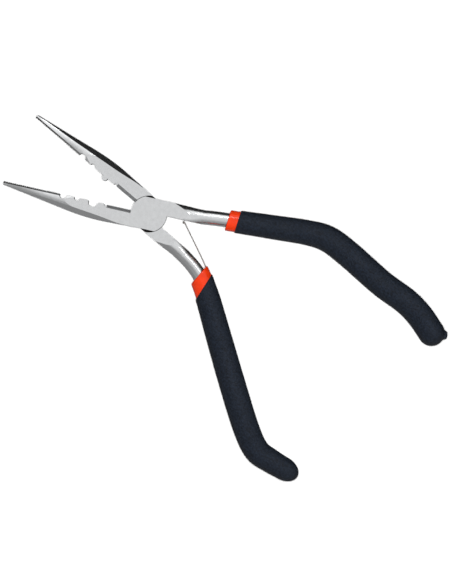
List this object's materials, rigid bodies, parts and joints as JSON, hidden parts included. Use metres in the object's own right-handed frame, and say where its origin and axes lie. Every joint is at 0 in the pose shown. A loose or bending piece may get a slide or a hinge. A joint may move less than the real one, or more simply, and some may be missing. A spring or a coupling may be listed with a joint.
{
  "type": "fishing pliers",
  "caption": "Long-nose fishing pliers with pistol-grip handles, a leaf return spring, serrated jaw tips, crimping notches and a side cutter.",
  "frame": {"origin": "on the pivot axis, in the flat back face of the joint", "axes": "+X along the bisector of the resting jaws towards the tips, +Z along the pivot axis towards the front lever, +Y towards the front lever's jaw"},
  "size_m": [0.2779, 0.15, 0.0162],
  "materials": {
    "forged_steel": "satin nickel over fine-ground forged steel",
    "rivet_steel": "ground flush",
    "spring_steel": "bright rolled strip",
    "orange_sleeve": "glossy dipped vinyl",
    "black_grip": "matte moulded soft plastic with a fine grain"
  },
  "bodies": {
    "back_half": {"back_lever": "forged_steel", "spring_rivet": "rivet_steel", "back_inner_sleeve": "orange_sleeve", "back_outer_grip": "black_grip"},
    "front_half": {"front_lever": "forged_steel", "pivot_rivet": "rivet_steel", "front_inner_sleeve": "orange_sleeve", "front_outer_grip": "black_grip"},
    "leaf_spring": {"return_spring": "spring_steel"}
  },
  "joints": [
    {"name": "jaw_pivot", "type": "hinge", "parent": "back_half", "child": "front_half", "pos_m": [0, 0, 0.005], "axis": [0, 0, 1], "range_deg": [-27.5, 20], "stiffness_Nm_per_rad": 0.8, "deforming": ["return_spring"]},
    {"name": "spring_bend", "type": "hinge", "parent": "back_half", "child": "leaf_spring", "pos_m": [-0.04423, 0.01278, 0.005], "axis": [0, 0, 1], "range_deg": [-16, 22]}
  ],
  "couplings": [
    {"joint": "spring_bend", "follows": "jaw_pivot", "ratio": -0.77}
  ]
}
